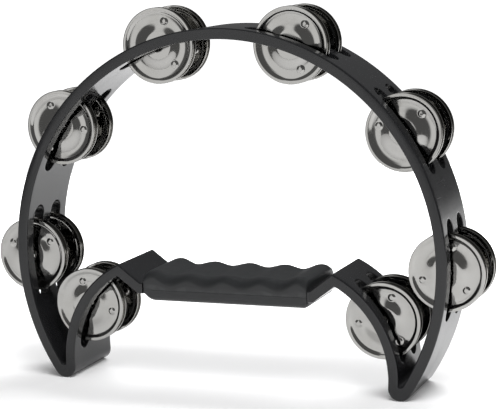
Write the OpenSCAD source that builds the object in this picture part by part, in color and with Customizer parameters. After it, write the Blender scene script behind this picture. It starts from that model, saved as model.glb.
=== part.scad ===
// Half-moon tambourine with two rows of paired jingles and a finger grip.
// Millimetres. The instrument stands on its two foot tips: the floor is z = 0,
// X runs from foot to foot and Y runs through the band, rear side at +Y.

/* [Frame] */
// Outer radius of the round arch
outer_r = 135; // [130:1:140]
// Height of the arch's centre above the floor
centre_h = 78; // [76:1:80]
// Depth of the frame from its front face to its rear face
depth = 51; // [49:1:54]
// Thickness of the arch and of the handle bar
band_t = 6.5; // [5.5:0.5:7]
// Thickness of the curved inner leg of each foot
leg_t = 6; // [5:0.5:6.5]
// Radius of each rounded foot tip
tip_r = 7; // [6:0.5:8]
// Distance from the middle to the centre of each inner leg's arc
leg_x = 39; // [37:1:41]
// Height of the centre of each inner leg's arc
leg_h = 12; // [11:1:13]
// Distance from the middle to the top corner of each peak
peak_x = 67.5; // [66:0.5:69]
// Slope of the straight bracket from peak to handle bar, in degrees
bracket_a = 37; // [35:1:39]
// Height of the handle bar's underside
bar_h = 55; // [54:0.5:56]
// Height at which the gap between arch and leg begins in a foot
gap_floor_h = 9; // [8:0.5:11]

/* [Slots and pins] */
// Angle between neighbouring stations on the arch, in degrees
station_a = 36.6; // [36:0.1:37]
// Angle of the station on each leg above the horizontal, in degrees
leg_station_a = 30.8; // [30:0.2:32]
// Length of a jingle slot in the arch, with its round ends
slot_len = 59; // [57:1:60]
// Length of a jingle slot in a leg, with its round ends
leg_slot_len = 55; // [54.5:0.5:55.5]
// Width of a jingle slot
slot_w = 12; // [11:0.5:12.5]
// Width of the web between the front and the rear row of slots
web_w = 10; // [9:0.5:11]
// Radius of a jingle pin
pin_r = 1.4; // [1.2:0.1:1.5]
// Radius of a pin's head
pin_head_r = 2.2; // [2:0.1:2.6]

/* [Jingles] */
// Outer radius of a jingle
jingle_r = 22.5; // [21:0.5:23]
// Radius of the hole in a jingle
jingle_hole_r = 2.75; // [2.7:0.05:3]
// Sheet thickness of a jingle
sheet_t = 0.5; // [0.4:0.1:0.6]
// Width of the flat rim of a jingle
rim_w = 1.5; // [1.4:0.1:2]
// Width of the wall inside the rim
wall_w = 2.4; // [2:0.1:2.8]
// Depth of the wall
wall_d = 0.8; // [0.7:0.05:0.9]
// Depth from the rim to the round trough of a jingle
dish_d = 0.95; // [0.9:0.05:1.1]
// Radius of the trough, the deepest ring of a jingle
trough_r = 16.3; // [16:0.1:16.6]
// Radius of the flat hub in the middle of a jingle
hub_r = 7.5; // [7:0.1:8]
// How far the hub stands out beyond the rim
hub_rise = 0.2; // [0:0.05:0.3]
// Gap between the troughs of two paired jingles at rest
pair_gap = 2.2; // [2:0.1:2.4]
// How far a jingle hangs below its pin
hang = 1; // [0.8:0.1:1]

/* [Grip] */
// Length of the grip
grip_len = 104; // [102:1:104]
// Height of the grip's underside
grip_low_h = 50.7; // [50.5:0.1:51.5]
// Height of the two end crests
end_crest_h = 68.8; // [68.5:0.1:70]
// Height of the crests between the finger grooves
crest_h = 67.5; // [67.2:0.1:68]
// Depth of the finger grooves below those crests
groove_d = 1.7; // [1.5:0.1:2]
// Distance between neighbouring crests
crest_pitch = 23; // [22.5:0.1:23.5]
// Height of the joint between the two halves of the grip
grip_joint_h = 57.6; // [57:0.1:58]
// Thickness of the grip's front and rear walls
grip_wall = 3; // [2.5:0.5:3.5]
// Radius of a grip screw
screw_r = 1.5; // [1.4:0.1:1.6]
// Radius of a grip screw's head
screw_head_r = 3; // [2.8:0.1:3.2]

/* [Hidden] */
$fn = 96;
// How far a joined shape runs into its neighbour
JOIN = 0.5;
// How far a cutter runs past the surface that it cuts
OVER = 1;
// Clearance of a pin or screw that sits tight, and of one that passes freely
NO_GAP = 0.02;
FREE_GAP = 0.2;

SIDES = [[-1, "left"], [1, "right"]];
ROWS = [[-1, "front"], [1, "rear"]];
ARCH_STATIONS = [["top", 0.5], ["shoulder", 1.5], ["side", 2.5]];

// A station is [name, side, angle from the vertical, arc centre x and height, pin line radius, slot length]
tip_x = sqrt(pow(outer_r - tip_r, 2) - pow(centre_h - tip_r, 2));
leg_in_r = norm([tip_x - leg_x, tip_r - leg_h]) - tip_r;
leg_out_r = leg_in_r + leg_t;
arch_in_r = outer_r - band_t;
STATIONS = concat(
    [for (s = ARCH_STATIONS) for (d = SIDES)
        [str(s[0], "_", d[1]), d[0], s[1] * station_a, 0, centre_h, outer_r - band_t / 2, slot_len]],
    [for (d = SIDES)
        [str("foot_", d[1]), d[0], 90 - leg_station_a, leg_x, leg_h, leg_in_r + leg_t / 2, leg_slot_len]]);
JINGLES = [for (s = STATIONS) for (r = ROWS) for (f = [-1, 1]) [s, r, f]];

function pin_name(s) = str("pin_", s[0]);
function jingle_name(j) = str("jingle_", j[0][0], "_", j[1][1], j[2] < 0 ? "_a" : "_b");

// Peak, bracket and bar
peak_h = leg_h + sqrt(pow(leg_out_r, 2) - pow(peak_x - leg_x, 2));
bar_top_h = bar_h + band_t;
bar_top_x = peak_x - (peak_h - bar_top_h) / tan(bracket_a);
under_x = peak_x + band_t * sin(bracket_a);
under_h = peak_h - band_t * cos(bracket_a);
bar_low_x = under_x - (under_h - bar_h) / tan(bracket_a);
peak_a = atan2(peak_h - leg_h, peak_x - leg_x);

// Gap between arch and leg at the foot
gap_in_x = leg_x + sqrt(pow(leg_out_r, 2) - pow(gap_floor_h - leg_h, 2));
gap_out_x = sqrt(pow(arch_in_r, 2) - pow(centre_h - gap_floor_h, 2));
gap_floor_r = (gap_out_x - gap_in_x) / 2;

// Pins: blind in the front rail, head sunk in the rear face
row_y = (web_w + slot_w) / 2;
pin_blind = 3;
pin_head_t = 1.2;
pin_sink = 0.3;
pin_seat_y = depth / 2 - pin_sink - pin_head_t;
pin_front_y = -depth / 2 + pin_blind;

// Jingles
rim_in_r = jingle_r - rim_w;
wall_in_r = rim_in_r - wall_w;
wall_steps = 4;
bowl_steps = 2;
dome_steps = 6;
dome_skew = 1.4;
jingle_back = dish_d + sheet_t;

// Grip
grip_end_gap = 0.2;
grip_inset = 0.4;
grip_depth = depth - 2 * grip_inset;
bar_depth = grip_depth - 2 * grip_wall;
grip_round = 4;
WAVE_STEP = 1.3;
screw_x = crest_pitch;
screw_head_t = 1.4;
screw_sink = 0.4;
screw_len = 12.5;
screw_seat_h = grip_low_h + screw_sink + screw_head_t;
screw_hole_top = screw_seat_h + screw_len + 0.5;
screw_drive_w = 0.8;
screw_drive_len = 1.3 * screw_head_r;

// A flat outline drawn in X and height, carried through the depth
module through(d) {
    rotate([90, 0, 0]) linear_extrude(height = d, center = true) children();
}

// Places its children at a station, with Z pointing out of the band
module at_station(s) {
    translate([s[1] * s[3], 0, s[4]]) rotate([0, s[1] * s[2], 0]) translate([0, 0, s[5]]) children();
}

// Places its children on a station's pin line, square to the floor
module on_pin_line(s) {
    translate([s[1] * (s[3] + s[5] * sin(s[2])), 0, s[4] + s[5] * cos(s[2])]) children();
}

module cylinder_y(r, y0, y1) {
    translate([0, y0, 0]) rotate([-90, 0, 0]) cylinder(r = r, h = y1 - y0);
}

module slab(x, y, z0, z1) {
    translate([-x / 2, -y / 2, z0]) cube([x, y, z1 - z0]);
}

// ---- Frame ----

module arch_outline() {
    difference() {
        translate([0, centre_h]) circle(outer_r);
        translate([0, centre_h]) circle(arch_in_r);
        polygon([[0, centre_h], [2 * tip_x, 2 * tip_r - centre_h], [-2 * tip_x, 2 * tip_r - centre_h]]);
    }
}

module foot_gap_outline() {
    difference() {
        intersection() {
            translate([0, centre_h]) circle(arch_in_r);
            translate([leg_x, gap_floor_h]) square(outer_r);
        }
        translate([leg_x, leg_h]) circle(leg_out_r);
    }
    translate([gap_in_x + gap_floor_r, gap_floor_h]) circle(gap_floor_r);
}

module leg_outline() {
    beyond = 1.3;
    reach = beyond * leg_out_r;
    intersection() {
        difference() {
            translate([leg_x, leg_h]) circle(leg_out_r);
            translate([leg_x, leg_h]) circle(leg_in_r);
        }
        polygon([
            [leg_x, leg_h],
            [leg_x + beyond * (tip_x - leg_x), leg_h + beyond * (tip_r - leg_h)],
            [leg_x + reach, leg_h + reach],
            [leg_x + reach * cos(peak_a), leg_h + reach * sin(peak_a)]]);
    }
}

module bracket_outline() {
    polygon([
        [peak_x, peak_h],
        [bar_top_x, bar_top_h],
        [bar_top_x, bar_h],
        [bar_low_x, bar_h],
        [under_x, under_h]]);
}

module foot_outline() {
    difference() {
        translate([tip_x, tip_r]) circle(tip_r);
        foot_gap_outline();
    }
    leg_outline();
    bracket_outline();
}

module frame_outline() {
    arch_outline();
    foot_outline();
    mirror([1, 0]) foot_outline();
    translate([-bar_top_x - JOIN, bar_h]) square([2 * (bar_top_x + JOIN), band_t]);
}

// Slot through the band, reaching further in than out because the band curves away from it
module slot(y, length) {
    reach_in = 11;
    reach_out = 7;
    straight = length - slot_w;
    translate([0, y, -reach_in]) {
        slab(straight, slot_w, 0, reach_in + reach_out);
        for (e = [-1, 1]) translate([e * straight / 2, 0, 0])
            cylinder(r = slot_w / 2, h = reach_in + reach_out);
    }
}

module pin_bore() {
    cylinder_y(pin_r + NO_GAP, pin_front_y, depth / 2 + OVER);
    cylinder_y(pin_head_r + FREE_GAP, pin_seat_y, depth / 2 + OVER);
}

module frame() {
    color([0.09, 0.09, 0.1]) difference() {
        through(depth) frame_outline();
        for (s = STATIONS) {
            at_station(s) for (r = ROWS) slot(r[0] * row_y, s[6]);
            on_pin_line(s) pin_bore();
        }
        // The bar is narrower inside the grip
        for (r = ROWS) translate([0, r[0] * depth / 2, bar_h - OVER])
            slab(grip_len + 2 * grip_end_gap, depth - bar_depth, 0, band_t + 2 * OVER);
        for (e = [-1, 1]) translate([e * screw_x, 0, bar_h - OVER])
            cylinder(r = screw_r + FREE_GAP, h = band_t + 2 * OVER);
    }
}

// ---- Pins ----

module pin(s) {
    color("silver") on_pin_line(s) {
        cylinder_y(pin_r, pin_front_y, pin_seat_y + pin_head_t / 2);
        cylinder_y(pin_head_r, pin_seat_y, pin_seat_y + pin_head_t);
    }
}

// ---- Jingles ----

// Soft rise from 0 to 1 as t runs from 0 to 1
function ease(t) = (1 - cos(180 * t)) / 2;

// Section of the pressed sheet, radius against depth behind the rim: wall, bowl, trough, dome and hub
function dish(lift) = concat(
    [[jingle_r, lift]],
    [for (i = [0 : wall_steps]) let (t = i / wall_steps)
        [rim_in_r - t * wall_w, ease(t) * wall_d + lift]],
    [for (i = [1 : bowl_steps]) let (t = i / bowl_steps)
        [wall_in_r + t * (trough_r - wall_in_r), dish_d - (dish_d - wall_d) * pow(1 - t, 2) + lift]],
    [for (i = [1 : dome_steps]) let (t = i / dome_steps)
        [trough_r + t * (hub_r - trough_r), dish_d - (dish_d + hub_rise) * ease(pow(t, dome_skew)) + lift]],
    [[jingle_hole_r, lift - hub_rise]]);

module jingle_shape() {
    section = dish(0);
    back = dish(sheet_t);
    rotate_extrude() polygon(concat(section, [for (i = [len(back) - 1 : -1 : 0]) back[i]]));
}

// A pair stands back to back, hollow sides outwards, and hangs below its pin
module jingle(j) {
    color([0.85, 0.86, 0.88]) on_pin_line(j[0])
        translate([0, j[1][0] * row_y + j[2] * (jingle_back + pair_gap / 2), -hang])
            rotate([j[2] * 90, 0, 0]) jingle_shape();
}

// ---- Grip ----

// Height of the finger side at x: a wave whose two end crests are higher
function finger_h(x) = let (
    valley_h = crest_h - groove_d,
    top_h = abs(x) > 1.5 * crest_pitch ? end_crest_h : crest_h,
    t = 2 * x / crest_pitch + 1) valley_h + (top_h - valley_h) * ease(t);

module finger_outline() {
    half = grip_len / 2;
    steps = round(grip_len / WAVE_STEP);
    polygon(concat(
        [[-half, grip_joint_h], [-half, end_crest_h - grip_round]],
        [for (i = [1 : steps - 1]) let (x = -half + i * WAVE_STEP)
            [x, min(finger_h(x), end_crest_h - grip_round + sqrt(max(0, pow(grip_round, 2)
                - pow(max(0, abs(x) - half + grip_round), 2))))]],
        [[half, end_crest_h - grip_round], [half, grip_joint_h]]));
}

// Solid rod along X with round long edges, the envelope of both grip halves
module grip_envelope() {
    h = end_crest_h - grip_low_h;
    translate([-grip_len / 2, 0, grip_low_h]) rotate([90, 0, 90]) linear_extrude(height = grip_len)
        translate([-grip_depth / 2, 0]) rounded_rectangle(grip_depth, h, grip_round);
}

module rounded_rectangle(w, h, r) {
    translate([r, 0]) square([w - 2 * r, h]);
    translate([0, r]) square([w, h - 2 * r]);
    for (x = [r, w - r]) for (y = [r, h - r]) translate([x, y]) circle(r);
}

module bar_channel() {
    slab(grip_len + 2 * OVER, bar_depth, bar_h, bar_top_h);
}

module grip_upper() {
    color([0.2, 0.2, 0.21]) difference() {
        intersection() {
            grip_envelope();
            through(depth) finger_outline();
        }
        bar_channel();
        for (e = [-1, 1]) translate([e * screw_x, 0, grip_joint_h - OVER])
            cylinder(r = screw_r + NO_GAP, h = screw_hole_top - grip_joint_h + OVER);
    }
}

module grip_lower() {
    color([0.2, 0.2, 0.21]) difference() {
        intersection() {
            grip_envelope();
            through(depth) translate([-grip_len / 2, grip_low_h])
                rounded_rectangle(grip_len, 4 * grip_round, grip_round);
            slab(grip_len, depth, grip_low_h, grip_joint_h);
        }
        bar_channel();
        for (e = [-1, 1]) translate([e * screw_x, 0, grip_low_h - OVER]) {
            cylinder(r = screw_r + FREE_GAP, h = bar_h - grip_low_h + 2 * OVER);
            cylinder(r = screw_head_r + FREE_GAP, h = screw_seat_h - grip_low_h + OVER);
        }
    }
}

module grip_screws() {
    color("dimgray") for (e = [-1, 1]) translate([e * screw_x, 0, grip_low_h + screw_sink]) difference() {
        union() {
            cylinder(r = screw_head_r, h = screw_head_t);
            cylinder(r = screw_r, h = screw_head_t + screw_len);
        }
        for (a = [0, 90]) rotate([0, 0, a]) slab(screw_drive_len, screw_drive_w, -OVER, screw_drive_w);
    }
}

frame();
grip_upper();
grip_lower();
grip_screws();
for (s = STATIONS) pin(s);
for (j = JINGLES) jingle(j);
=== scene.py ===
import math

import bmesh
import bpy
from mathutils import Matrix, Vector


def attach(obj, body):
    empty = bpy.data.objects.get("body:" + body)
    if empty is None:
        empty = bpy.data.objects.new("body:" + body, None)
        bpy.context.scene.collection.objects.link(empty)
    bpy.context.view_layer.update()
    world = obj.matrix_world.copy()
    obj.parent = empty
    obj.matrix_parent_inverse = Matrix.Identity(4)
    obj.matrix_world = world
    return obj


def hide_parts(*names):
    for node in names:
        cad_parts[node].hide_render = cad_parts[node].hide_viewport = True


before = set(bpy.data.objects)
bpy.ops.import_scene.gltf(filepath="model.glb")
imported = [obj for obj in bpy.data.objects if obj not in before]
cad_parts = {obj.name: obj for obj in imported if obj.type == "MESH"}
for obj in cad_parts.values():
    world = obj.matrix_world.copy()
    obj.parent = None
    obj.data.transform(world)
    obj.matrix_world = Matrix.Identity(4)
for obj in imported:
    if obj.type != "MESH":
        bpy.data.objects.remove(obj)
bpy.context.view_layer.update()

MM = 0.001
SHARP_ANGLE = math.radians(50)

# ---------------------------------------------------------------- dimensions
# Driving dimensions of the frame in millimetres, the same as in the CAD model
OUTER_R = 135.0
CENTRE_H = 78.0
DEPTH = 51.0
BAND_T = 6.5
LEG_T = 6.0
TIP_R = 7.0
LEG_X = 39.0
LEG_H = 12.0
PEAK_X = 67.5
BRACKET_A = math.radians(37)
BAR_H = 55.0
STATION_A = math.radians(36.6)
LEG_STATION_A = math.radians(30.8)
SLOT_LEN = 59.0
LEG_SLOT_LEN = 55.0
SLOT_W = 12.0
WEB_W = 10.0
GRIP_HALF = 52.0
GRIP_WALL = 3.0
GRIP_INSET = 0.4
GRIP_END_GAP = 0.2

ROW_Y = (WEB_W + SLOT_W) / 2
ARCH_IN_R = OUTER_R - BAND_T
TIP_X = math.sqrt((OUTER_R - TIP_R) ** 2 - (CENTRE_H - TIP_R) ** 2)
LEG_IN_R = math.hypot(TIP_X - LEG_X, TIP_R - LEG_H) - TIP_R
LEG_OUT_R = LEG_IN_R + LEG_T
PEAK_H = LEG_H + math.sqrt(LEG_OUT_R ** 2 - (PEAK_X - LEG_X) ** 2)
BAR_TOP_H = BAR_H + BAND_T
GRIP_DEPTH = DEPTH - 2 * GRIP_INSET
BAR_DEPTH = GRIP_DEPTH - 2 * GRIP_WALL

# Rounding of the frame's edges
EDGE_R = 0.9
SLOT_EDGE_R = 0.45
GAP_FLOOR_R = 1.5
PEAK_TOP_R = 1.1
PEAK_UNDER_R = 1.5
BEND_R = 2.0

# Angle from the vertical where the arch starts to blend into the foot
FOOT_BLEND_A = math.radians(118)
# Length of the bar's step to its narrower part, and where that part's even spacing starts
SHOULDER_W = 0.02
BAR_INNER_X = 50.0

ARCH_STATIONS = ("top", "shoulder", "side")
SIDES = {"left": -1, "right": 1}
ROWS = {"front": -1, "rear": 1}


def polar(centre, radius, angle):
    """Point at an angle measured from +X towards +Z."""
    return Vector((centre[0] + radius * math.cos(angle), centre[1] + radius * math.sin(angle)))


def steps(first, last, count):
    """Evenly spaced values after first, up to and with last."""
    return [first + (last - first) * (i + 1) / count for i in range(count)]


def mix(a, b, t):
    return a + (b - a) * t


def ease(t):
    """Soft rise from 0 to 1 as t runs from 0 to 1."""
    return (1 - math.cos(math.pi * min(1.0, max(0.0, t)))) / 2


# ---------------------------------------------------------------- mesh tools
def new_object(name, bm, material):
    """Turns a bmesh in millimetres into an object in metres."""
    bmesh.ops.recalc_face_normals(bm, faces=bm.faces)
    bmesh.ops.scale(bm, vec=(MM, MM, MM), verts=bm.verts)
    mesh = bpy.data.meshes.new(name)
    bm.to_mesh(mesh)
    bm.free()
    if material:
        mesh.materials.append(material)
    obj = bpy.data.objects.new(name, mesh)
    bpy.context.scene.collection.objects.link(obj)
    return obj


def cut_away(obj, cutter_bm):
    """Takes the cutter's shape out of the object's mesh for good."""
    cutter = new_object("cutter", cutter_bm, None)
    boolean = obj.modifiers.new("cut", "BOOLEAN")
    boolean.operation = "DIFFERENCE"
    boolean.solver = "EXACT"
    boolean.object = cutter
    ready = obj.evaluated_get(bpy.context.evaluated_depsgraph_get())
    mesh = bpy.data.meshes.new_from_object(ready)
    mesh.name = obj.name
    obj.modifiers.remove(boolean)
    obj.data = mesh
    bpy.data.objects.remove(cutter)


def shade(obj):
    """Smooth shading weighted by face area, with sharp creases kept."""
    bm = bmesh.new()
    bm.from_mesh(obj.data)
    for edge in bm.edges:
        if len(edge.link_faces) == 2 and edge.calc_face_angle() > SHARP_ANGLE:
            edge.smooth = False
    for face in bm.faces:
        face.smooth = True
    bm.to_mesh(obj.data)
    bm.free()
    weighted = obj.modifiers.new("shading", "WEIGHTED_NORMAL")
    weighted.keep_sharp = True


def finish_mesh(name, bm, material, cutter=None):
    """The usual way from a bmesh to a shaded object, with an optional shape cut out of it."""
    obj = new_object(name, bm, material)
    if cutter:
        cut_away(obj, cutter)
    shade(obj)
    return obj


def skin(bm, rings, closed_ring=True, closed_path=False):
    """Quads between neighbouring rings of vertices."""
    pairs = list(zip(rings, rings[1:]))
    if closed_path:
        pairs.append((rings[-1], rings[0]))
    for one, two in pairs:
        count = len(one)
        for i in range(count if closed_ring else count - 1):
            j = (i + 1) % count
            bm.faces.new((one[i], one[j], two[j], two[i]))


def lathe(bm, profile, count, place):
    """Turns an open profile of (radius, height) that starts and ends on the axis.

    place maps two distances across the axis and a height along it to the model.
    """
    ends = [bm.verts.new(place(0, 0, profile[i][1])) for i in (0, -1)]
    rings = []
    for r, h in profile[1:-1]:
        angles = [2 * math.pi * i / count for i in range(count)]
        rings.append([bm.verts.new(place(r * math.cos(a), r * math.sin(a), h)) for a in angles])
    skin(bm, rings)
    for end, ring in zip(ends, (rings[0], rings[-1])):
        for i in range(count):
            bm.faces.new((end, ring[i], ring[(i + 1) % count]))


# ---------------------------------------------------------------- frame
class Rib:
    """One section across the frame's wall: points a and b on its two surfaces, with their outward normals.

    block names the slot block that starts at this rib, if one does.
    """

    def __init__(self, a, na, b, nb, depth=DEPTH):
        self.a, self.na, self.b, self.nb, self.depth = a, na, b, nb, depth
        self.block = None


def unit(angle):
    return Vector((math.cos(angle), math.sin(angle)))


def arch_rib(phi_a, phi_b):
    """Rib at an angle from the vertical; a is on the outer and b on the inner surface."""
    ua, ub = unit(math.pi / 2 - phi_a), unit(math.pi / 2 - phi_b)
    c = Vector((0, CENTRE_H))
    return Rib(c + OUTER_R * ua, ua, c + ARCH_IN_R * ub, -ub)


def leg_rib(alpha_a, alpha_b):
    """Rib at an angle above the horizontal; a faces the palm and b faces the arch."""
    ua, ub = unit(alpha_a), unit(alpha_b)
    c = Vector((LEG_X, LEG_H))
    return Rib(c + LEG_IN_R * ua, -ua, c + LEG_OUT_R * ub, ub)


def circle_meet(c1, r1, c2, r2, side):
    """One of the two points at distance r1 from c1 and r2 from c2."""
    d = (c2 - c1).length
    along = (r1 * r1 - r2 * r2 + d * d) / (2 * d)
    across = math.sqrt(r1 * r1 - along * along)
    u = (c2 - c1) / d
    return c1 + along * u + side * across * Vector((-u.y, u.x))


def line_circle_meet(point, direction, centre, radius):
    """Far point where a line meets a circle."""
    w = point - centre
    b = w.dot(direction)
    return point + direction * (-b + math.sqrt(b * b - w.length_squared + radius * radius))


def turn(direction_from, direction_to):
    """Angle of a vector pointing from one place to another."""
    d = direction_to - direction_from
    return math.atan2(d.y, d.x)


ARCH_C = Vector((0, CENTRE_H))
LEG_C = Vector((LEG_X, LEG_H))
TIP_C = Vector((TIP_X, TIP_R))
GAP_C = circle_meet(ARCH_C, ARCH_IN_R - GAP_FLOOR_R, LEG_C, LEG_OUT_R + GAP_FLOOR_R, 1)
DOWN = Vector((-math.cos(BRACKET_A), -math.sin(BRACKET_A)))
TOP_N = unit(math.pi / 2 + BRACKET_A)
PEAK = Vector((PEAK_X, PEAK_H))
UNDER = PEAK - BAND_T * TOP_N

# Half the angle that a slot block takes, its steps along the arc, and its steps across one row of the depth
ARCH_BLOCK = math.radians(13.9)
LEG_BLOCK = math.radians(28.1)
BLOCK_STEPS = 22
CELL_STEPS = 12
# Rings of faces between a slot's edge and the border of its cell
CELL_RINGS = 4


def half_ribs():
    """The right half of the frame, from the top of the arch round the foot to the middle of the bar."""
    ribs = [arch_rib(0, 0)]
    at = 0.0

    def plain(end, count):
        for p in steps(at, end, count):
            ribs.append(arch_rib(p, p))

    for i, name in enumerate(ARCH_STATIONS):
        station = (i + 0.5) * STATION_A
        plain(station - ARCH_BLOCK, 3 if i == 0 else 5)
        ribs[-1].block = name
        for p in steps(station - ARCH_BLOCK, station + ARCH_BLOCK, BLOCK_STEPS):
            ribs.append(arch_rib(p, p))
        at = station + ARCH_BLOCK
    plain(FOOT_BLEND_A, 7)
    end_a = math.pi / 2 - turn(ARCH_C, TIP_C)
    end_b = math.pi / 2 - turn(ARCH_C, GAP_C)
    for pa, pb in zip(steps(FOOT_BLEND_A, end_a, 3), steps(FOOT_BLEND_A, end_b, 3)):
        ribs.append(arch_rib(pa, pb))

    # Round the foot tip and the floor of the gap
    tip_from, tip_to = turn(ARCH_C, TIP_C), turn(TIP_C, LEG_C) - 2 * math.pi
    gap_from, gap_to = turn(ARCH_C, GAP_C), turn(GAP_C, LEG_C) - 2 * math.pi
    for ta, tb in zip(steps(tip_from, tip_to, 18), steps(gap_from, gap_to, 18)):
        ribs.append(Rib(TIP_C + TIP_R * unit(ta), unit(ta), GAP_C + GAP_FLOOR_R * unit(tb), -unit(tb)))

    # Leg with its slot block
    low = LEG_STATION_A - LEG_BLOCK
    high = LEG_STATION_A + LEG_BLOCK
    for pa, pb in zip(steps(turn(LEG_C, TIP_C), low, 4), steps(turn(LEG_C, GAP_C), low, 4)):
        ribs.append(leg_rib(pa, pb))
    ribs[-1].block = "foot"
    for p in steps(low, high, BLOCK_STEPS):
        ribs.append(leg_rib(p, p))

    # Peak: rounded top corner, filleted under corner
    top_inset = PEAK - PEAK_TOP_R * TOP_N
    top_c = line_circle_meet(top_inset, -DOWN, LEG_C, LEG_OUT_R - PEAK_TOP_R)
    under_inset = UNDER - PEAK_UNDER_R * TOP_N
    under_c = line_circle_meet(under_inset, -DOWN, LEG_C, LEG_IN_R - PEAK_UNDER_R)
    ta0, tb0 = turn(LEG_C, under_c), turn(LEG_C, top_c)
    for pa, pb in zip(steps(high, ta0, 3), steps(high, tb0, 3)):
        ribs.append(leg_rib(pa, pb))
    end = math.pi / 2 + BRACKET_A
    for ta, tb in zip(steps(ta0, end, 8), steps(tb0, end, 8)):
        a = under_c + PEAK_UNDER_R * unit(ta)
        b = top_c + PEAK_TOP_R * unit(tb)
        ribs.append(Rib(a, -unit(ta), b, unit(tb)))

    # Straight bracket down to the bend
    reach = math.tan(BRACKET_A / 2) * BEND_R
    corner_b = PEAK + DOWN * (PEAK_H - BAR_TOP_H) / math.sin(BRACKET_A)
    corner_a = UNDER + DOWN * (UNDER.y - BAR_H) / math.sin(BRACKET_A)
    last = ribs[-1]
    end_pa, end_pb = corner_a - DOWN * reach, corner_b - DOWN * reach
    for t in steps(0, 1, 8):
        ribs.append(Rib(mix(last.a, end_pa, t), -TOP_N, mix(last.b, end_pb, t), TOP_N))
    bend_a = end_pa + BEND_R * TOP_N
    bend_b = end_pb + BEND_R * TOP_N
    for t in steps(end, math.pi / 2, 4):
        ribs.append(Rib(bend_a - BEND_R * unit(t), -unit(t), bend_b - BEND_R * unit(t), unit(t)))

    # Bar, narrower inside the grip
    up = Vector((0, 1))
    shoulder = GRIP_HALF + GRIP_END_GAP
    bar = [(shoulder, DEPTH), (shoulder - SHOULDER_W, BAR_DEPTH)]
    bar += [(x, BAR_DEPTH) for x in steps(BAR_INNER_X, 0, 6)]
    for x, depth in bar:
        ribs.append(Rib(Vector((x, BAR_H)), -up, Vector((x, BAR_TOP_H)), up, depth))
    return ribs


def mirrored(rib):
    flip = lambda v: Vector((-v.x, v.y))
    out = Rib(flip(rib.a), flip(rib.na), flip(rib.b), flip(rib.nb), rib.depth)
    out.block = rib.block
    return out


class Arc:
    """The two curved surfaces that a slot block lies on, and its slot."""

    def __init__(self, centre, r_a, r_b, station, half, slot_len, side):
        self.centre, self.r_a, self.r_b = centre, r_a, r_b
        self.station, self.half, self.slot_len, self.side = station, half, slot_len, side

    def point(self, surface, angle, y):
        """Angle is measured from the vertical."""
        r = self.r_a if surface == "a" else self.r_b
        x = self.centre.x + r * math.sin(angle)
        return Vector((self.side * x, y, self.centre.y + r * math.cos(angle)))

    def wall(self, across, y, height):
        """Point on the slot's wall: across is along the tangent, height is from the arc's centre."""
        s, c = math.sin(self.station), math.cos(self.station)
        x = self.centre.x + height * s + across * c
        return Vector((self.side * x, y, self.centre.y + height * c - across * s))


def stadium(length, width, grow, count_long, count_end):
    """Points round a slot outline, starting at its front left, front side first. Each is (across, y)."""
    straight = (length - width) / 2
    r = width / 2 + grow
    out = [(mix(-straight, straight, i / count_long), -r) for i in range(count_long)]
    for i in range(count_end):
        a = -math.pi / 2 + math.pi * i / count_end
        out.append((straight + r * math.cos(a), r * math.sin(a)))
    out += [(mix(straight, -straight, i / count_long), r) for i in range(count_long)]
    for i in range(count_end):
        a = math.pi / 2 + math.pi * i / count_end
        out.append((-straight + r * math.cos(a), r * math.sin(a)))
    return out


def slot_cell(bm, arc, borders, mid_y, reverse):
    """Fills one slotted rectangle on both surfaces and joins the two through the slot's wall."""
    # How far each ring of the rounded edge lies outside the slot, and how deep
    rounding = [(SLOT_EDGE_R * 0.3, SLOT_EDGE_R * 0.3), (0.0, SLOT_EDGE_R)]
    sign = -1 if reverse else 1
    wall_rings = {}
    for surface in ("a", "b"):
        r = arc.r_a if surface == "a" else arc.r_b
        outward = (1 if surface == "a" else -1) * (1 if arc.r_a > arc.r_b else -1)
        border = borders[surface]
        rings = [border]
        edge = stadium(arc.slot_len, SLOT_W, SLOT_EDGE_R, BLOCK_STEPS, CELL_STEPS)
        inner = []
        for across, y in edge:
            inner.append((arc.station + sign * math.asin(across / r), mid_y + y))
        outer = []
        for v in border:
            x, z = arc.side * v.co.x - arc.centre.x, v.co.z - arc.centre.y
            outer.append((math.atan2(x, z), v.co.y))
        for i in range(1, CELL_RINGS + 1):
            t = i / CELL_RINGS
            ring = []
            for (pa, ya), (pb, yb) in zip(outer, inner):
                ring.append(bm.verts.new(arc.point(surface, mix(pa, pb, t), mix(ya, yb, t))))
            rings.append(ring)
        for grow, sink in rounding:
            ring = []
            for across, y in stadium(arc.slot_len, SLOT_W, grow, BLOCK_STEPS, CELL_STEPS):
                height = math.sqrt(r * r - across * across) - outward * sink
                ring.append(bm.verts.new(arc.wall(sign * across, mid_y + y, height)))
            rings.append(ring)
        skin(bm, rings)
        wall_rings[surface] = rings[-1]
    skin(bm, [wall_rings["a"], wall_rings["b"]])


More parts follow.
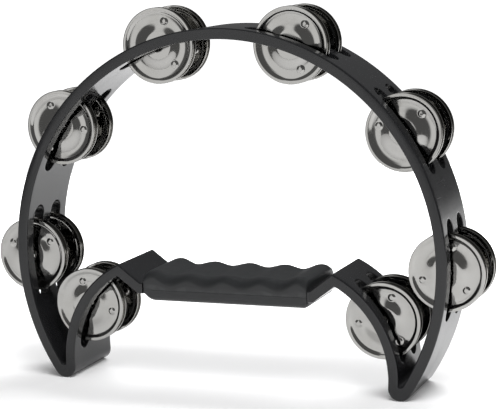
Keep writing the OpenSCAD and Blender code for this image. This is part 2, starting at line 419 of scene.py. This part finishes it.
def build_frame():
    """The whole moulding as one closed band of ribs, with slotted cells where the jingles sit."""
    bm = bmesh.new()
    right = half_ribs()
    left = [mirrored(r) for r in right[-2:0:-1]]
    ribs = [(r, 1) for r in right] + [(r, -1) for r in left]
    count = len(ribs)

    arcs = {}
    for side in (1, -1):
        for i, name in enumerate(ARCH_STATIONS):
            station = (i + 0.5) * STATION_A
            arcs[name, side] = Arc(ARCH_C, OUTER_R, ARCH_IN_R, station, ARCH_BLOCK, SLOT_LEN, side)
        station = math.pi / 2 - LEG_STATION_A
        arcs["foot", side] = Arc(LEG_C, LEG_IN_R, LEG_OUT_R, station, LEG_BLOCK, LEG_SLOT_LEN, side)

    # The ribs strictly inside a block have no vertices on its two slotted surfaces
    inside = set()
    blocks = []
    for i, (rib, side) in enumerate(ribs):
        if rib.block:
            first = i if side == 1 else i - BLOCK_STEPS
            blocks.append((first, rib.block, side))
            inside.update(range(first + 1, first + BLOCK_STEPS))

    # Places across the depth from -1 to 1, and the turns of the rounded front and rear edges
    lanes = [i / CELL_STEPS - 1 for i in range(CELL_STEPS)] + [i / CELL_STEPS for i in range(CELL_STEPS + 1)]
    last_lane = 2 * CELL_STEPS
    turns = [math.radians(a) for a in (30, 60, 90)]
    make = lambda p, y: bm.verts.new((p.x, y, p.y))
    rows_a, rows_b, fronts, rears = [], [], [], []
    for i, (rib, side) in enumerate(ribs):
        flat = rib.depth / 2 - EDGE_R
        keep = (0, CELL_STEPS, last_lane) if i in inside else range(last_lane + 1)
        rows_a.append({k: make(rib.a, lanes[k] * flat) for k in keep})
        rows_b.append({k: make(rib.b, lanes[k] * flat) for k in keep})
        for edge, sgn, lane in ((fronts, -1, 0), (rears, 1, last_lane)):
            rounding = [(EDGE_R * (1 - math.cos(t)), sgn * (flat + EDGE_R * math.sin(t))) for t in turns]
            line = [rows_a[-1][lane]]
            line += [make(rib.a - inward * rib.na, y) for inward, y in rounding]
            line.append(make((rib.a + rib.b) / 2, sgn * rib.depth / 2))
            line += [make(rib.b - inward * rib.nb, y) for inward, y in reversed(rounding)]
            line.append(rows_b[-1][lane])
            edge.append(line)
    skin(bm, fronts, closed_ring=False, closed_path=True)
    skin(bm, rears, closed_ring=False, closed_path=True)
    for i in range(count):
        j = (i + 1) % count
        if i in inside or j in inside:
            continue
        for rows in (rows_a, rows_b):
            for k in range(last_lane):
                bm.faces.new((rows[i][k], rows[i][k + 1], rows[j][k + 1], rows[j][k]))

    for first, name, side in blocks:
        arc = arcs[name, side]
        span = list(range(first, first + BLOCK_STEPS + 1))
        # Angle from the vertical grows along the arch and falls along the leg, and mirroring swaps both
        reverse = (name == "foot") != (side == -1)
        for lane0, mid_y in ((0, -ROW_Y), (CELL_STEPS, ROW_Y)):
            borders = {}
            for surface, rows in (("a", rows_a), ("b", rows_b)):
                border = [rows[i][lane0] for i in span[:-1]]
                border += [rows[span[-1]][lane0 + k] for k in range(CELL_STEPS)]
                border += [rows[i][lane0 + CELL_STEPS] for i in reversed(span[1:])]
                border += [rows[span[0]][lane0 + CELL_STEPS - k] for k in range(CELL_STEPS)]
                borders[surface] = border
            slot_cell(bm, arc, borders, mid_y, reverse)
    return bm


# ---------------------------------------------------------------- stations
def stations():
    """Name of each station and its pin's place as (x, z)."""
    out = {}
    for side_name, side in SIDES.items():
        for i, name in enumerate(ARCH_STATIONS):
            a = math.pi / 2 - (i + 0.5) * STATION_A
            p = polar(ARCH_C, OUTER_R - BAND_T / 2, a)
            out[f"{name}_{side_name}"] = (side * p.x, p.y)
        p = polar(LEG_C, LEG_IN_R + LEG_T / 2, LEG_STATION_A)
        out[f"foot_{side_name}"] = (side * p.x, p.y)
    return out


# ---------------------------------------------------------------- jingles
JINGLE_R = 22.5
HOLE_R = 2.75
SHEET_T = 0.5
RIM_W = 1.5
WALL_W = 2.4
WALL_D = 0.8
DISH_D = 0.95
TROUGH_R = 16.3
HUB_R = 7.5
HUB_RISE = 0.2
DOME_SKEW = 1.4
PAIR_GAP = 2.2
HANG = 1.0
BUMP_COUNT = 3
BUMP_AT_R = 15.0
BUMP_R = 2.3
BUMP_H = 0.55
BUMP_EDGE = 1.0
JINGLE_SEGMENTS = 192
RIM_IN_R = JINGLE_R - RIM_W
WALL_IN_R = RIM_IN_R - WALL_W


def dish_depth(r):
    """Depth of the pressed sheet behind its rim: wall, bowl, trough, dome and flat hub."""
    if r >= WALL_IN_R:
        return WALL_D * ease((RIM_IN_R - r) / WALL_W)
    if r >= TROUGH_R:
        t = (WALL_IN_R - r) / (WALL_IN_R - TROUGH_R)
        return DISH_D - (DISH_D - WALL_D) * (1 - t) ** 2
    t = min(1.0, (TROUGH_R - r) / (TROUGH_R - HUB_R))
    return DISH_D - (DISH_D + HUB_RISE) * ease(t ** DOME_SKEW)


def jingle_profile():
    """Closed profile of (radius, depth) with rounded rim and hole edges."""
    half = SHEET_T / 2
    # Radius where each zone starts, and the steps that it takes
    zones = [(HOLE_R + half, 4), (HUB_R, 13), (BUMP_AT_R - BUMP_R, 12)]
    zones += [(BUMP_AT_R + BUMP_R, 13), (RIM_IN_R, 4)]
    ends = [r for r, count in zones[1:]] + [JINGLE_R - half]
    radii = [mix(r, end, i / count) for (r, count), end in zip(zones, ends) for i in range(count)]
    radii.append(ends[-1])
    front = [(r, dish_depth(r)) for r in radii]
    back = [(r, h + SHEET_T) for r, h in reversed(front)]
    round_edge = [math.radians(a) for a in (50, 0, -50)]
    rim = [(JINGLE_R - half + half * math.cos(a), half - half * math.sin(a)) for a in round_edge]
    hole = [(HOLE_R + half - half * math.cos(a), half - HUB_RISE + half * math.sin(a)) for a in round_edge]
    return front + rim + back + hole


def bump_height(x, y):
    """Small round bumps that stand up in the hollow side, evenly spaced round the trough."""
    for k in range(BUMP_COUNT):
        a = 2 * math.pi * k / BUMP_COUNT
        d = math.hypot(x - BUMP_AT_R * math.cos(a), y - BUMP_AT_R * math.sin(a))
        if d < BUMP_R:
            return BUMP_H * ease((BUMP_R - d) / BUMP_EDGE)
    return 0.0


def jingle_mesh(material):
    """One dished jingle round its local Z axis, which runs into the dish. The rim's face is at 0."""
    bm = bmesh.new()
    profile = jingle_profile()
    rings = []
    for i in range(JINGLE_SEGMENTS):
        a = 2 * math.pi * i / JINGLE_SEGMENTS
        places = [(r * math.cos(a), r * math.sin(a), h) for r, h in profile]
        rings.append([bm.verts.new((x, y, h - bump_height(x, y))) for x, y, h in places])
    skin(bm, rings, closed_path=True)
    pattern = finish_mesh("jingle_pattern", bm, material)
    mesh = pattern.data
    bpy.data.objects.remove(pattern)
    return mesh


# Angle of one bump of jingle a in each front slot, in degrees from +X towards +Z, and what the others add
FIRST_BUMP = {
    "top_left": 73, "top_right": 53, "shoulder_left": 116, "shoulder_right": 46,
    "side_left": 33, "side_right": 79, "foot_left": 107, "foot_right": 69}
FACE_SPREAD = {-1: 0, 1: 47}
ROW_SPREAD = {"front": 0, "rear": 31}


def build_jingle(name, mesh, station, row, face):
    """One jingle. face is -1 where its hollow side looks to the front and 1 where it looks to the rear."""
    turned = math.radians(FIRST_BUMP[station] + FACE_SPREAD[face] + ROW_SPREAD[row])
    mesh = mesh.copy()
    mesh.transform(Matrix.Rotation(face * turned, 4, "Z"))
    obj = bpy.data.objects.new(name + "_spun", mesh)
    bpy.context.scene.collection.objects.link(obj)
    weighted = obj.modifiers.new("shading", "WEIGHTED_NORMAL")
    weighted.keep_sharp = True
    x, z = stations()[station]
    y = ROWS[row] * ROW_Y + face * (DISH_D + SHEET_T + PAIR_GAP / 2)
    place = Matrix.Translation(Vector((x, y, z - HANG)) * MM)
    obj.matrix_world = place @ Matrix.Rotation(face * math.pi / 2, 4, "X")
    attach(obj, name)
    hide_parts(name)


# ---------------------------------------------------------------- pins and screws
PIN_R = 1.4
PIN_HEAD_R = 2.2
PIN_HEAD_T = 1.2
PIN_SINK = 0.3
PIN_BLIND = 3.0
PIN_EDGE = 0.3
PIN_DOME_AT = 0.5
PIN_SEGMENTS = 40
RECESS_GAP = 0.2
RECESS_SEGMENTS = 48
SCREW_X = 23.0
SCREW_R = 1.5
SCREW_HEAD_R = 3.0
SCREW_HEAD_T = 1.4
SCREW_LEN = 12.5
SCREW_SINK = 0.4
SCREW_DOME_H = 0.7
# How far inside its radius and before its end the screw's point starts
SCREW_POINT = (0.4, 0.6)
THREAD_TURNS = 12
THREAD_LEN = SCREW_LEN - 2.0
THREAD_DEPTH = 0.28
THREAD_START = 0.6
THREAD_RISE = 0.4
CROSS_R = 1.8
CROSS_HALF_W = 0.4
CROSS_DEPTH = 0.9
GRIP_LOW_H = 50.7


def build_pin(name, station, material):
    """A straight pin from its blind end in the front rail to its low domed head in the rear face."""
    x, z = stations()[station]
    start = -DEPTH / 2 + PIN_BLIND
    top = DEPTH / 2 - PIN_SINK
    seat = top - PIN_HEAD_T
    profile = [(0, start), (PIN_R - PIN_EDGE, start), (PIN_R, start + PIN_EDGE), (PIN_R, seat)]
    profile += [(PIN_HEAD_R, seat + h) for h in (0, PIN_DOME_AT / 2, PIN_DOME_AT)]
    for share in (0.25, 0.5, 0.75, 0.9):
        a = share * math.pi / 2
        h = seat + PIN_DOME_AT + (PIN_HEAD_T - PIN_DOME_AT) * math.sin(a)
        profile.append((PIN_HEAD_R * math.cos(a), h))
    profile.append((0, top))
    bm = bmesh.new()
    lathe(bm, profile, PIN_SEGMENTS, lambda u, v, h: (x + u, h, z + v))
    obj = finish_mesh(name + "_turned", bm, material)
    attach(obj, "frame")
    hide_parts(name)


def cross_prism(bm, x, bottom, top):
    """Upright prism with the outline of a plus sign, round a vertical line at x."""
    quarter = [(CROSS_R, CROSS_HALF_W), (CROSS_HALF_W, CROSS_HALF_W), (CROSS_HALF_W, CROSS_R)]
    outline = []
    for c, s in ((1, 0), (0, 1), (-1, 0), (0, -1)):
        outline += [(u * c - v * s, u * s + v * c) for u, v in quarter]
    ends = [[bm.verts.new((x + u, v, h)) for u, v in outline] for h in (bottom, top)]
    skin(bm, ends)
    for end in ends:
        bm.faces.new(end)


def build_screws(material):
    """Two pan head screws with a cross recess, seen from below the grip."""
    low = GRIP_LOW_H + SCREW_SINK
    seat = low + SCREW_HEAD_T
    bm = bmesh.new()
    cross = bmesh.new()
    for x in (-SCREW_X, SCREW_X):
        profile = [(0, low)]
        for share in (0.2, 0.45, 0.7, 0.9):
            a = share * math.pi / 2
            profile.append((SCREW_HEAD_R * math.sin(a), low + SCREW_DOME_H * (1 - math.cos(a))))
        profile += [(SCREW_HEAD_R, low + SCREW_DOME_H + 0.1), (SCREW_HEAD_R, seat), (SCREW_R, seat)]
        for i in range(THREAD_TURNS):
            h = seat + THREAD_START + i * THREAD_LEN / THREAD_TURNS
            profile += [(SCREW_R - THREAD_DEPTH, h), (SCREW_R, h + THREAD_RISE)]
        end = seat + SCREW_LEN
        profile += [(SCREW_R - SCREW_POINT[0], end - SCREW_POINT[1]), (0, end)]
        lathe(bm, profile, PIN_SEGMENTS, lambda u, v, h: (x + u, v, h))
        cross_prism(cross, x, low - CROSS_DEPTH, low + CROSS_DEPTH)
    obj = finish_mesh("grip_screws_turned", bm, material, cutter=cross)
    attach(obj, "frame")
    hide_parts("grip_screws")


# ---------------------------------------------------------------- grip
END_CREST_H = 68.8
CREST_H = 67.5
GROOVE_D = 1.7
CREST_PITCH = 23.0
GRIP_JOINT_H = 57.6
TOP_CORNER_R = 4.0
LOW_CORNER_R = {-1: 7.0, 1: 3.0}
END_EDGE_R = 1.1
LOW_EDGE_R = 4.0
# Width and height of the rounding along the long top edges, on a crest and in a groove
CREST_EDGE = (6.5, 4.5)
GROOVE_EDGE = (9.0, 6.0)
SEAM_W = 0.12
GRIP_STEP = 1.05
GRIP_STEP_COUNT = 48


def groove(x):
    """0 on a crest and 1 in the middle of a finger groove."""
    return (1 - math.cos(2 * math.pi * x / CREST_PITCH)) / 2


def finger_h(x):
    """Height of the finger side at x: a wave whose two end crests are higher."""
    crest = END_CREST_H if abs(x) > 1.5 * CREST_PITCH else CREST_H
    return mix(crest, CREST_H - GROOVE_D, groove(x))


def corner_drop(x, radius):
    """How far a round corner lies inside its square corner at x."""
    d = max(0.0, abs(x) - GRIP_HALF + radius)
    return radius - math.sqrt(max(0.0, radius * radius - d * d))


def grip_places():
    """Places along the grip, closer together at its round ends."""
    ends = [GRIP_HALF - END_EDGE_R * (1 - math.sin(math.radians(a))) for a in (20, 40, 60, 75, 90)]
    middle = [i * GRIP_STEP for i in range(GRIP_STEP_COUNT)]
    half = middle + [x for x in ends if x > middle[-1] + 0.2]
    return [-x for x in reversed(half[1:])] + half


def arc_points(centre, radius, first, last, count):
    out = []
    for i in range(count + 1):
        a = math.radians(mix(first, last, i / count))
        out.append((centre[0] + radius * math.cos(a), centre[1] + radius * math.sin(a)))
    return out


def upper_section(x):
    """Outer and inner half-loops of the upper grip at x as (y, z), from the front joint over the top."""
    half = GRIP_DEPTH / 2 - corner_drop(x, END_EDGE_R)
    top = min(finger_h(x), END_CREST_H - corner_drop(x, TOP_CORNER_R))
    wide, high = (mix(c, g, groove(x)) for c, g in zip(CREST_EDGE, GROOVE_EDGE))
    high = min(high, top - GRIP_JOINT_H - 2)
    corner = [(wide * math.cos(a), high * math.sin(a)) for a in (math.pi / 24 * i for i in range(13))]
    front = [(-half + SEAM_W, GRIP_JOINT_H), (-half, GRIP_JOINT_H + SEAM_W)]
    front += [(-half, mix(GRIP_JOINT_H + SEAM_W, top - high, t)) for t in (0.35, 0.7)]
    front += [(-half + wide - u, top - high + v) for u, v in corner]
    crown = [(mix(-half + wide, half - wide, t / 8), top) for t in range(1, 8)]
    outer = front + crown + [(-y, z) for y, z in reversed(front)]
    return outer, channel_section(BAR_TOP_H, len(outer))


def lower_section(x):
    """The same for the lower grip, from the front joint round below."""
    half = GRIP_DEPTH / 2 - corner_drop(x, END_EDGE_R)
    low = min(GRIP_LOW_H + corner_drop(x, LOW_CORNER_R[1 if x > 0 else -1]), BAR_H - 0.5)
    r = min(LOW_EDGE_R, GRIP_JOINT_H - SEAM_W - low - 0.3)
    outer = [(-half + SEAM_W, GRIP_JOINT_H), (-half, GRIP_JOINT_H - SEAM_W)]
    outer += arc_points((-half + r, low + r), r, 180, 270, 9)
    outer += [(mix(-half + r, half - r, t / 10), low) for t in range(1, 10)]
    outer += arc_points((half - r, low + r), r, -90, 0, 9)
    outer += [(half, GRIP_JOINT_H - SEAM_W), (half - SEAM_W, GRIP_JOINT_H)]
    return outer, channel_section(BAR_H, len(outer))


def channel_section(floor, count):
    """Bar channel from the joint to its floor and back, with as many points as the outer half-loop."""
    half = BAR_DEPTH / 2
    side = 3
    across = count - 2 * side
    out = [(-half, mix(GRIP_JOINT_H, floor, i / side)) for i in range(side)]
    out += [(mix(-half, half, i / (across - 1)), floor) for i in range(across)]
    out += [(half, mix(floor, GRIP_JOINT_H, (i + 1) / side)) for i in range(side)]
    return out


def build_grip_half(name, section, material, cutter=None):
    """Sweeps a section along the grip and closes both ends with strips between its two half-loops."""
    bm = bmesh.new()
    loops = []
    for x in grip_places():
        loops.append([[bm.verts.new((x, y, z)) for y, z in half] for half in section(x)])
    skin(bm, [outer + list(reversed(inner)) for outer, inner in loops])
    for outer, inner in (loops[0], loops[-1]):
        skin(bm, [outer, inner], closed_ring=False)
    obj = finish_mesh(name + "_moulded", bm, material, cutter=cutter)
    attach(obj, "frame")
    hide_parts(name)


def screw_recesses():
    """Round recesses for the screw heads in the underside of the grip."""
    bm = bmesh.new()
    for x in (-SCREW_X, SCREW_X):
        r = SCREW_HEAD_R + RECESS_GAP
        below, seat = GRIP_LOW_H - 1, GRIP_LOW_H + SCREW_SINK + SCREW_HEAD_T
        profile = [(0, below), (r, below), (r, seat), (0, seat)]
        lathe(bm, profile, RECESS_SEGMENTS, lambda u, v, h: (x + u, v, h))
    return bm


def pin_recesses():
    """Round recesses for the pin heads in the rear face."""
    bm = bmesh.new()
    floor = DEPTH / 2 - PIN_SINK - PIN_HEAD_T
    r = PIN_HEAD_R + RECESS_GAP
    outside = DEPTH / 2 + 1
    profile = [(0, floor), (r, floor), (r, outside), (0, outside)]
    for x, z in stations().values():
        lathe(bm, profile, RECESS_SEGMENTS, lambda u, v, h: (x + u, h, z + v))
    return bm


# ---------------------------------------------------------------- materials
def add(tree, kind, settings=None, **inputs):
    """Adds a shader node. An input is a number, a colour or another node's output; _ stands for a space."""
    made = tree.nodes.new("ShaderNode" + kind)
    for key, value in (settings or {}).items():
        setattr(made, key, value)
    for key, value in inputs.items():
        plug(tree, made.inputs[key.replace("_", " ")], value)
    return made


def plug(tree, socket, value):
    if isinstance(value, bpy.types.NodeSocket):
        tree.links.new(value, socket)
    else:
        socket.default_value = value


def maths(tree, operation, *values, clamp=False):
    made = tree.nodes.new("ShaderNodeMath")
    made.operation = operation
    made.use_clamp = clamp
    for socket, value in zip(made.inputs, values):
        plug(tree, socket, value)
    return made.outputs[0]


def ranged(tree, value, low, high, to_low, to_high):
    """Maps a value from one range to another, smoothly and clamped."""
    made = add(tree, "MapRange", {"interpolation_type": "SMOOTHSTEP"}, Value=value,
               From_Min=low, From_Max=high, To_Min=to_low, To_Max=to_high)
    return made.outputs["Result"]


def blend_colour(tree, share, one, two):
    made = tree.nodes.new("ShaderNodeMix")
    made.data_type = "RGBA"
    plug(tree, made.inputs[0], share)
    plug(tree, made.inputs[6], one)
    plug(tree, made.inputs[7], two)
    return made.outputs[2]


def noise(tree, vector, scale, detail=2.0, roughness=0.5):
    made = add(tree, "TexNoise", None, Vector=vector, Scale=scale, Detail=detail, Roughness=roughness)
    return made.outputs["Fac"]


def new_material(name):
    material = bpy.data.materials.new(name)
    material.use_nodes = True
    tree = material.node_tree
    return material, tree, tree.nodes["Principled BSDF"]


def object_place(tree):
    return tree.nodes.new("ShaderNodeTexCoord").outputs["Object"]


def scratches(tree, place, turned, scale, long_axis_scale):
    """Thin straight scuffs in one direction, 1 on a scuff and 0 elsewhere."""
    stretch = (scale, scale * long_axis_scale, scale)
    mapped = add(tree, "Mapping", None, Vector=place, Rotation=turned, Scale=stretch)
    lines = noise(tree, mapped.outputs[0], 1.0, 1.0)
    return ranged(tree, lines, 0.66, 0.74, 0.0, 1.0)


def scaled(colour, factor):
    """The same colour, darker or lighter, with full opacity."""
    return [c * factor for c in colour[:3]] + [1]


def moulded_plastic(name, colour, worn_colour, roughness, grain_scale, grain_depth):
    """Injection-moulded plastic with a fine spark-eroded grain, scuffs and slightly polished edges."""
    material, tree, shader = new_material(name)
    place = object_place(tree)
    clouds = noise(tree, place, 28.0, 4.0)
    grain = noise(tree, place, grain_scale, 2.0, 0.6)
    scuff_a = scratches(tree, place, (0.4, 0.9, 0.2), 900.0, 0.035)
    scuff_b = scratches(tree, place, (1.3, 0.3, 1.1), 1100.0, 0.03)
    scuffs = maths(tree, "MAXIMUM", scuff_a, scuff_b)
    patches = ranged(tree, noise(tree, place, 45.0, 2.0), 0.5, 0.68, 0.0, 1.0)
    scuffs = maths(tree, "MULTIPLY", scuffs, patches)
    edge = ranged(tree, tree.nodes.new("ShaderNodeNewGeometry").outputs["Pointiness"], 0.52, 0.6, 0.0, 1.0)
    worn = maths(tree, "MULTIPLY", edge, ranged(tree, noise(tree, place, 160.0, 4.0), 0.42, 0.62, 0.2, 0.8))
    worn = maths(tree, "MAXIMUM", worn, maths(tree, "MULTIPLY", scuffs, 0.45))
    tint = blend_colour(tree, clouds, scaled(colour, 0.88), scaled(colour, 1.12))
    plug(tree, shader.inputs["Base Color"], blend_colour(tree, worn, tint, worn_colour))
    rough = ranged(tree, clouds, 0.3, 0.7, roughness - 0.04, roughness + 0.05)
    rough = maths(tree, "ADD", rough, maths(tree, "MULTIPLY", scuffs, 0.12))
    rough = maths(tree, "SUBTRACT", rough, maths(tree, "MULTIPLY", edge, 0.05))
    plug(tree, shader.inputs["Roughness"], rough)
    height = maths(tree, "SUBTRACT", grain, maths(tree, "MULTIPLY", scuffs, 0.6))
    bump = add(tree, "Bump", None, Height=height, Strength=0.5, Distance=grain_depth * MM)
    plug(tree, shader.inputs["Normal"], bump.outputs["Normal"])
    return material


def jingle_metal():
    """Polished nickel-plated sheet, spun in fine rings, with a faint haze and tarnish."""
    material, tree, shader = new_material("nickel_sheet")
    shader.inputs["Metallic"].default_value = 1.0
    place = object_place(tree)
    apart = add(tree, "SeparateXYZ", None, Vector=place)
    x, y = apart.outputs["X"], apart.outputs["Y"]
    flat = add(tree, "CombineXYZ", None, X=x, Y=y, Z=0.0).outputs[0]
    radius = add(tree, "VectorMath", {"operation": "LENGTH"}).outputs["Value"]
    tree.links.new(flat, radius.node.inputs[0])
    around = add(tree, "VectorMath", {"operation": "NORMALIZE"})
    tree.links.new(flat, around.inputs[0])
    spun = add(tree, "VectorMath", {"operation": "SCALE"})
    tree.links.new(around.outputs[0], spun.inputs[0])
    spun.inputs["Scale"].default_value = 1.3
    parts = add(tree, "SeparateXYZ", None, Vector=spun.outputs[0])
    rings_at = add(tree, "CombineXYZ", None, X=parts.outputs["X"], Y=parts.outputs["Y"],
                   Z=maths(tree, "MULTIPLY", radius, 1500.0)).outputs[0]
    rings = noise(tree, rings_at, 1.0, 3.0, 0.6)
    pick = tree.nodes.new("ShaderNodeObjectInfo").outputs["Random"]
    shifted = add(tree, "VectorMath", {"operation": "ADD"})
    tree.links.new(place, shifted.inputs[0])
    tree.links.new(add(tree, "CombineXYZ", None, X=pick, Y=pick, Z=pick).outputs[0], shifted.inputs[1])
    haze = noise(tree, shifted.outputs[0], 70.0, 4.0, 0.6)
    specks = ranged(tree, noise(tree, shifted.outputs[0], 900.0, 2.0), 0.7, 0.78, 0.0, 1.0)
    tarnish = ranged(tree, haze, 0.45, 0.72, 0.0, 0.35)
    tarnish = maths(tree, "MAXIMUM", tarnish, maths(tree, "MULTIPLY", specks, 0.3))
    plug(tree, shader.inputs["Base Color"],
         blend_colour(tree, tarnish, (0.43, 0.425, 0.41, 1), (0.36, 0.35, 0.325, 1)))
    rough = ranged(tree, rings, 0.3, 0.7, 0.05, 0.10)
    rough = maths(tree, "ADD", rough, maths(tree, "MULTIPLY", tarnish, 0.18))
    plug(tree, shader.inputs["Roughness"], rough)
    bump = add(tree, "Bump", None, Height=rings, Strength=0.35, Distance=0.012 * MM)
    plug(tree, shader.inputs["Normal"], bump.outputs["Normal"])
    return material


def turned_steel(name, colour, roughness):
    """Drawn or turned steel with fine streaks along Y and small stains."""
    material, tree, shader = new_material(name)
    shader.inputs["Metallic"].default_value = 1.0
    place = object_place(tree)
    mapped = add(tree, "Mapping", None, Vector=place, Scale=(1200.0, 90.0, 1200.0))
    streaks = noise(tree, mapped.outputs[0], 1.0, 2.0)
    stains = ranged(tree, noise(tree, place, 400.0, 3.0), 0.5, 0.75, 0.0, 1.0)
    plug(tree, shader.inputs["Base Color"], blend_colour(tree, stains, colour, scaled(colour, 0.6)))
    plug(tree, shader.inputs["Roughness"], ranged(tree, streaks, 0.3, 0.7, roughness, roughness + 0.15))
    bump = add(tree, "Bump", None, Height=streaks, Strength=0.4, Distance=0.01 * MM)
    plug(tree, shader.inputs["Normal"], bump.outputs["Normal"])
    return material


# ---------------------------------------------------------------- assembly
frame_plastic = moulded_plastic(
    "frame_plastic", (0.0105, 0.0108, 0.0118, 1), (0.024, 0.024, 0.025, 1),
    roughness=0.15, grain_scale=2600.0, grain_depth=0.008)
grip_plastic = moulded_plastic(
    "grip_plastic", (0.0185, 0.0195, 0.0205, 1), (0.036, 0.037, 0.038, 1),
    roughness=0.42, grain_scale=1500.0, grain_depth=0.03)
nickel = jingle_metal()
pin_steel = turned_steel("pin_steel", (0.62, 0.61, 0.6, 1), 0.25)
screw_zinc = turned_steel("screw_zinc", (0.3, 0.3, 0.31, 1), 0.35)

shell = finish_mesh("frame_shell", build_frame(), frame_plastic, cutter=pin_recesses())
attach(shell, "frame")
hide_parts("frame")

build_grip_half("grip_upper", upper_section, grip_plastic)
build_grip_half("grip_lower", lower_section, grip_plastic, cutter=screw_recesses())
build_screws(screw_zinc)
for station in stations():
    build_pin("pin_" + station, station, pin_steel)

disc = jingle_mesh(nickel)
for station in stations():
    for row in ROWS:
        for letter, face in (("a", -1), ("b", 1)):
            build_jingle(f"jingle_{station}_{row}_{letter}", disc, station, row, face)


# ---------------------------------------------------------------- stage, light and camera
# Radii of the floor's rings in millimetres, and the distances in metres over which it turns plain white
FLOOR_RINGS = (150, 300, 600, 950)
FLOOR_SEGMENTS = 96
WHITE_FROM = 0.14
WHITE_TO = 0.4
# The white panel's soft edges: azimuths to the right of the front, and heights of the unit direction
PANEL_LEFT = (math.radians(-31), math.radians(-28))
PANEL_RIGHT = (math.radians(-16), math.radians(-12))
PANEL_TOP = (0.5, 0.58)
# The camera's place in metres, its angles in degrees and its lens in millimetres
CAMERA_PLACE = (0.3764, -0.9373, 0.2676)
CAMERA_AZIMUTH = 21.42
CAMERA_ELEVATION = 9.07
CAMERA_ROLL = -1.73
CAMERA_LENS = 123.66


def build_floor():
    """A round pale floor. Away from the object the camera sees it as plain white, so that it has no edge."""
    material, tree, shader = new_material("pale_floor")
    place = object_place(tree)
    tone = blend_colour(tree, noise(tree, place, 6.0, 3.0), (0.88, 0.88, 0.885, 1), (0.90, 0.90, 0.905, 1))
    plug(tree, shader.inputs["Base Color"], tone)
    shader.inputs["Roughness"].default_value = 0.7
    away = add(tree, "VectorMath", {"operation": "LENGTH"})
    tree.links.new(place, away.inputs[0])
    far = ranged(tree, away.outputs["Value"], WHITE_FROM, WHITE_TO, 0.12, 1.0)
    seen = tree.nodes.new("ShaderNodeLightPath").outputs["Is Camera Ray"]
    shader.inputs["Emission Color"].default_value = (1, 1, 1, 1)
    plug(tree, shader.inputs["Emission Strength"], maths(tree, "MULTIPLY", far, seen))
    bm = bmesh.new()
    centre = bm.verts.new((0, 0, 0))
    angles = [2 * math.pi * i / FLOOR_SEGMENTS for i in range(FLOOR_SEGMENTS)]
    rings = []
    for r in FLOOR_RINGS:
        rings.append([bm.verts.new((r * math.cos(a), r * math.sin(a), 0)) for a in angles])
    skin(bm, rings)
    for i in range(FLOOR_SEGMENTS):
        bm.faces.new((centre, rings[0][i], rings[0][(i + 1) % FLOOR_SEGMENTS]))
    floor = finish_mesh("floor", bm, material)
    if floor.data.polygons[0].normal.z < 0:
        floor.data.flip_normals()


def area_light(name, place, target, width, height, power):
    """A rectangular lamp aimed at a point. It lights surfaces but no glossy surface mirrors it."""
    data = bpy.data.lights.new(name, "AREA")
    data.shape = "RECTANGLE"
    data.size = width
    data.size_y = height
    data.energy = power
    lamp = bpy.data.objects.new(name, data)
    bpy.context.scene.collection.objects.link(lamp)
    lamp.location = place
    lamp.rotation_euler = (Vector(target) - Vector(place)).to_track_quat("-Z", "Y").to_euler()
    lamp.visible_glossy = False


def build_world():
    """A dark studio with a tall white panel at the front left and a white ground at the rear.

    The camera itself sees plain white.
    """
    world = bpy.data.worlds.new("studio")
    bpy.context.scene.world = world
    world.use_nodes = True
    tree = world.node_tree
    background = tree.nodes["Background"]
    direction = tree.nodes.new("ShaderNodeTexCoord").outputs["Generated"]
    toward = add(tree, "SeparateXYZ", None, Vector=direction)
    y, z = toward.outputs["Y"], toward.outputs["Z"]
    azimuth = maths(tree, "ARCTAN2", toward.outputs["X"], maths(tree, "MULTIPLY", y, -1.0))
    left_edge = ranged(tree, azimuth, *PANEL_LEFT, 0.0, 1.0)
    right_edge = ranged(tree, azimuth, *PANEL_RIGHT, 1.0, 0.0)
    top_edge = ranged(tree, z, *PANEL_TOP, 0.95, 0.0)
    panel = maths(tree, "MULTIPLY", maths(tree, "MULTIPLY", left_edge, right_edge), top_edge)
    rearward = ranged(tree, y, -0.1, 0.3, 0.0, 1.1)
    below = ranged(tree, z, -0.08, 0.0, 1.0, 0.0)
    ground = maths(tree, "MULTIPLY", rearward, below)
    base = ranged(tree, y, -0.2, 0.2, 0.14, 0.12)
    tone = maths(tree, "ADD", maths(tree, "MAXIMUM", panel, ground), base)
    seen = tree.nodes.new("ShaderNodeLightPath").outputs["Is Camera Ray"]
    plain_white = maths(tree, "MULTIPLY", seen, 1.2)
    plug(tree, background.inputs["Strength"], maths(tree, "MAXIMUM", tone, plain_white))
    background.inputs["Color"].default_value = (1, 1, 1, 1)


def build_camera():
    """Camera of the photo's view."""
    data = bpy.data.cameras.new("camera")
    data.sensor_width = 36.0
    data.lens = CAMERA_LENS
    data.clip_start = 0.05
    data.clip_end = 50.0
    camera = bpy.data.objects.new("camera", data)
    bpy.context.scene.collection.objects.link(camera)
    turn_z = Matrix.Rotation(math.radians(CAMERA_AZIMUTH), 4, "Z")
    tilt = Matrix.Rotation(math.radians(90 - CAMERA_ELEVATION), 4, "X")
    roll = Matrix.Rotation(math.radians(CAMERA_ROLL), 4, "Z")
    camera.matrix_world = Matrix.Translation(CAMERA_PLACE) @ turn_z @ tilt @ roll
    bpy.context.scene.camera = camera


build_floor()
build_world()
area_light("key", place=(0.45, -0.6, 1.35), target=(0, 0, 0), width=0.9, height=0.9, power=21.0)
area_light("rear_floor", place=(0.1, 1.0, 1.1), target=(0.0, 0.35, 0), width=1.1, height=0.7, power=24.0)
build_camera()
bpy.context.scene.view_settings.view_transform = "Standard"
